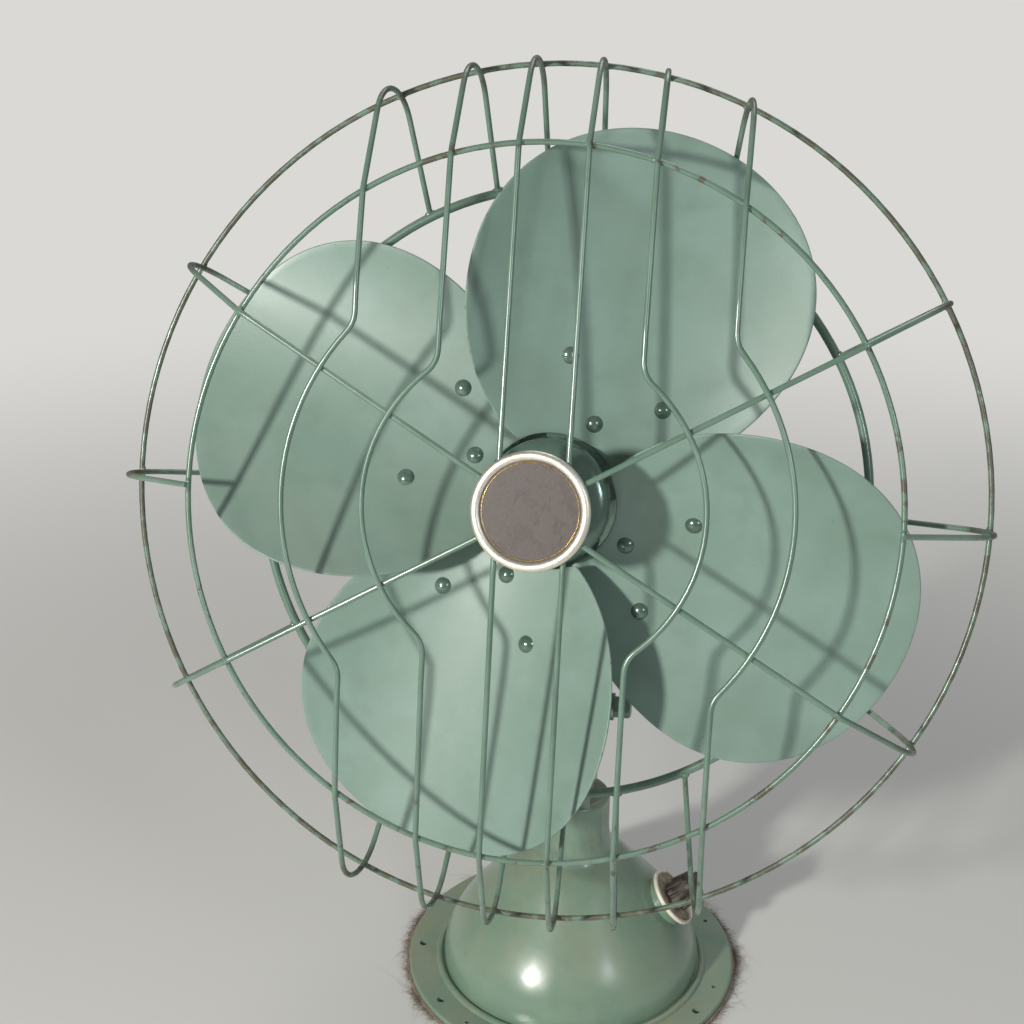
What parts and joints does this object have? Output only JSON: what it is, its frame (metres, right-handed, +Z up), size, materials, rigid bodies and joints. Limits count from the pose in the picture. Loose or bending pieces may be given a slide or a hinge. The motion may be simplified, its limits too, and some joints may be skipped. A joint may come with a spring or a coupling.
{
  "type": "desk fan",
  "caption": "Electric desk fan with a domed wire guard, riveted sheet-metal blades, a tilting and oscillating motor head and a bell-shaped base with a rotary switch.",
  "frame": {"origin": "centre of the base's underside, on the surface it stands on", "axes": "+Z up; the fan faces -Y; +X to the right as seen from the front"},
  "size_m": [0.4639, 0.3426, 0.5907],
  "materials": {
    "green_enamel": "satin enamel",
    "guard_enamel": "satin enamel, worn",
    "plain_steel": "machined",
    "lamination_steel": "dull",
    "bronze": "machined",
    "winding_wire": "varnished",
    "cast_aluminium": "as cast",
    "dark_plastic": "worn",
    "cream_metal": "satin",
    "badge_field": "satin",
    "felt": "dusty felt",
    "rubber": "matt"
  },
  "bodies": {
    "base": {"base_shell": "green_enamel", "base_felt_pad": "felt", "base_bottom_plate": "plain_steel", "bottom_plate_screws": "plain_steel", "tilt_bolt": "plain_steel", "tilt_nut": "green_enamel", "tilt_washers": "plain_steel", "switch_dial": "cream_metal", "switch_body": "dark_plastic", "switch_nut": "cream_metal", "speed_coil_core": "lamination_steel", "speed_coil_winding": "winding_wire", "terminal_strip": "dark_plastic", "cord_bushing": "rubber"},
    "switch": {"switch_knob": "dark_plastic"},
    "bracket": {"tilt_bracket": "green_enamel", "thrust_washer": "plain_steel"},
    "rotor": {"hub_spider": "green_enamel", "hub_bush": "plain_steel", "hub_set_screw": "plain_steel", "motor_shaft": "plain_steel", "rotor_core": "lamination_steel", "rotor_end_rings": "cast_aluminium", "blade_1": "green_enamel", "blade_2": "green_enamel", "blade_3": "green_enamel", "blade_4": "green_enamel", "blade_rivets": "green_enamel"},
    "cross": {"cross_shaft": "plain_steel", "first_wheel": "bronze"},
    "crank": {"second_wheel": "bronze", "crank_spindle": "plain_steel"},
    "link": {"link_arm": "plain_steel", "link_screw": "plain_steel"},
    "clutch": {"clutch_knob": "dark_plastic"},
    "head": {"badge_clamp": "plain_steel", "badge_plate": "badge_field", "badge_rim": "cream_metal", "badge_rivets": "plain_steel", "front_bearing": "bronze", "gearbox_case": "green_enamel", "gearbox_lid": "green_enamel", "gearbox_lid_screws": "plain_steel", "guard_centre_wires": "guard_enamel", "guard_front_ring": "guard_enamel", "guard_middle_wires": "guard_enamel", "guard_outer_ring": "guard_enamel", "guard_rear_ring": "guard_enamel", "guard_side_wires": "guard_enamel", "guard_spokes": "guard_enamel", "guard_struts": "guard_enamel", "motor_foot": "green_enamel", "motor_front_shell": "green_enamel", "motor_rear_shell": "green_enamel", "motor_tie_bolts": "plain_steel", "rear_bearing": "bronze", "stator_core": "lamination_steel", "stator_windings": "winding_wire", "strut_screws": "plain_steel", "swivel_stud": "plain_steel"}
  },
  "joints": [
    {"name": "switch_turn", "type": "hinge", "parent": "base", "child": "switch", "pos_m": [0.06709, 0.00117, 0.05636], "axis": [-0.7659, -0.0134, -0.6428], "range_deg": [0, 135]},
    {"name": "tilt", "type": "hinge", "parent": "base", "child": "bracket", "pos_m": [0, 0, 0.193], "axis": [1, 0, 0], "range_deg": [-2.5, 37.5]},
    {"name": "oscillate", "type": "hinge", "parent": "bracket", "child": "head", "pos_m": [0, 0, 0.193], "axis": [0, 0.3007, 0.9537], "range_deg": [-40, 40]},
    {"name": "blades_spin", "type": "hinge", "parent": "head", "child": "rotor", "pos_m": [-0.00575, -0.08621, 0.36488], "axis": [0, 0.9537, -0.3007], "continuous": true},
    {"name": "cross_shaft_turn", "type": "hinge", "parent": "head", "child": "cross", "pos_m": [-0.00575, 0.10374, 0.28889], "axis": [1, 0, 0], "continuous": true},
    {"name": "crank_turn", "type": "hinge", "parent": "head", "child": "crank", "pos_m": [0.01225, 0.1249, 0.29832], "axis": [0, 0.3007, 0.9537], "continuous": true},
    {"name": "link_swing", "type": "hinge", "parent": "crank", "child": "link", "pos_m": [0.00325, 0.09979, 0.21868], "axis": [0, 0.3007, 0.9537], "continuous": true},
    {"name": "clutch_lift", "type": "slide", "parent": "head", "child": "clutch", "axis": [0, 0.3007, 0.9537], "range_m": [0, 0.006]}
  ],
  "couplings": [
    {"joint": "cross_shaft_turn", "follows": "blades_spin", "ratio": 0.05},
    {"joint": "crank_turn", "follows": "blades_spin", "ratio": -0.0020833},
    {"joint": "link_swing", "follows": "blades_spin", "ratio": 0.0020833}
  ]
}
